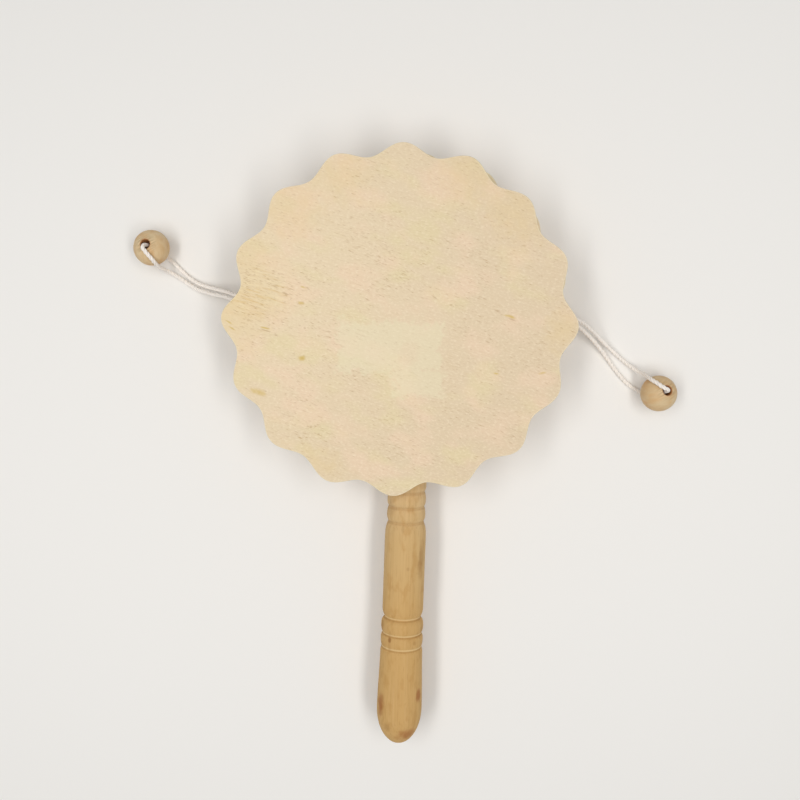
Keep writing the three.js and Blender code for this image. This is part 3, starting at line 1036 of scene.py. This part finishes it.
hoop_finish = plain_wood("hoop_wood", tint(222, 192, 146), tint(205, 170, 120), tint(170, 128, 80),
                         (30 * MM, 30 * MM, 0.8 * MM), (0, 0, 0), 0.55)
dress(hoop, hoop_finish)
# The right bead is painted a little darker than the left: painted shade that evens out the stronger lamp
# light on it.
bead_tints_with_painted_shade = {"left": tint(220, 196, 156), "right": tint(213, 188, 148)}
bead_grain_lean = (0.4, 0.8)
for side, pose in bead_poses.items():
    grain = (bead_grain_lean[0], pose["tilt"] + bead_grain_lean[1], pose["heading"])
    hole = (tuple(part / MM for part in box_middle("bead_" + side)), (0, pose["tilt"], pose["heading"]))
    finish = plain_wood("bead_wood_" + side, bead_tints_with_painted_shade[side], tint(210, 173, 125), tint(184, 148, 102),
                        (2.6 * MM, 2.6 * MM, 8 * MM), grain, 0.5, hole)
    dress(beads[side], finish)

# %% [markdown]
# ## Cotton
# The twine is soft white cotton. It scatters light with almost no gloss, and loose fluff breaks up its
# surface. Single fibres could be grown as hair, but they would be far finer than a picture shows. So
# it gets a fine grain of noise in its colour and its bump, and a high roughness.

# %% Cotton finish
cotton = Finish("white_cotton")
cotton.shader.inputs["Specular IOR Level"].default_value = 0.2
fluff = cotton.noise((0.12 * MM, 0.12 * MM, 0.12 * MM), detail=4)
cotton_colour = cotton.mix(tint(247, 240, 232), tint(236, 227, 219), fluff.step(0.4, 0.75))
fluff_relief = 0.03 * MM
cotton_finish = cotton.finish(cotton_colour, 0.9, fluff, fluff_relief)
for twine, _, _ in strings.values():
    dress(twine, cotton_finish)

# %% [markdown]
# ## Table and light
# The drum lies on a white table. Its handle throws a narrow, even shadow on both sides, and the
# shadows round the plates are wider and fade slowly. One sun would throw one hard shadow, so two long
# lamps do it: one hangs over the left and one over the right, each about twenty degrees from overhead
# and tipped a little towards its own pool of light. A wide soft light above them and the bright room,
# both slightly cooler than the lamps, fill the rest, so that no shadow is black. The table lies a
# hair's breadth below the drum, because two faces in one plane would flicker.

# %% Table
table_gap = 0.02 * MM
table_side = 6
clear_selection()
bpy.ops.mesh.primitive_plane_add(size=table_side)
table = bpy.context.object
table.name = "table"
table.location.z = -table_gap
table_top = Finish("table_top")
table_top.shader.inputs["Base Color"].default_value = (*tint(238, 235, 231), 1)
table_top.shader.inputs["Roughness"].default_value = 0.8
table_top.shader.inputs["Specular IOR Level"].default_value = 0.2
table.data.materials.append(table_top.material)
print("table:", table_side, "m wide,", round(table_gap / MM, 2), "mm below the drum")

# %% Lamps
lamp_height = 600 * MM
lamp_asides = {"left": -220 * MM, "right": 250 * MM}
lamp_setback = -50 * MM
lamp_width = 110 * MM
lamp_length = 520 * MM
lamp_power = 0.6
lamp_colour = (1.0, 0.985, 0.96)
lamp_spread = math.radians(110)
pools = {"left": Vector((-180, -110, 0)) * MM, "right": Vector((150, 20, 0)) * MM}
ceiling_height = 800 * MM
ceiling_side = 900 * MM
ceiling_power = 1.5
fill_colour = (0.97, 1.0, 1.02)
room_brightness = 0.3


def hang_lamp(name, place, aim, size, power, colour, spread=math.pi):
    """A rectangular lamp whose long side runs along Y, turned to face what it is aimed at."""
    data = bpy.data.lights.new(name, "AREA")
    data.shape = "RECTANGLE"
    data.size, data.size_y = size
    data.spread = spread
    data.energy = power
    data.color = colour
    lamp = bpy.data.objects.new(name, data)
    back = (place - aim).normalized()
    across = Vector((0, 1, 0)).cross(back).normalized()
    facing = Matrix((across, back.cross(across), back)).transposed()
    lamp.matrix_world = Matrix.Translation(place) @ facing.to_4x4()
    bpy.context.scene.collection.objects.link(lamp)
    print(name, "hangs at", [round(part, 2) for part in place], "m")


lamp_size = (lamp_width, lamp_length)
for side, lamp_aside in lamp_asides.items():
    place = Vector((lamp_aside, lamp_setback, lamp_height))
    hang_lamp("lamp_" + side, place, pools[side], lamp_size, lamp_power, lamp_colour, lamp_spread)
ceiling_size = (ceiling_side, ceiling_side)
ceiling_place = Vector((0, 0, ceiling_height))
hang_lamp("ceiling", ceiling_place, Vector((0, 0, 0)), ceiling_size, ceiling_power, fill_colour)

# %% The room
room = bpy.data.worlds.new("room")
bpy.context.scene.world = room
room.use_nodes = True
walls = next(node for node in room.node_tree.nodes if node.type == "BACKGROUND")
walls.inputs["Color"].default_value = (*fill_colour, 1)
walls.inputs["Strength"].default_value = room_brightness
bpy.context.scene.view_settings.view_transform = "Standard"
print("the room's walls shine at", room_brightness)
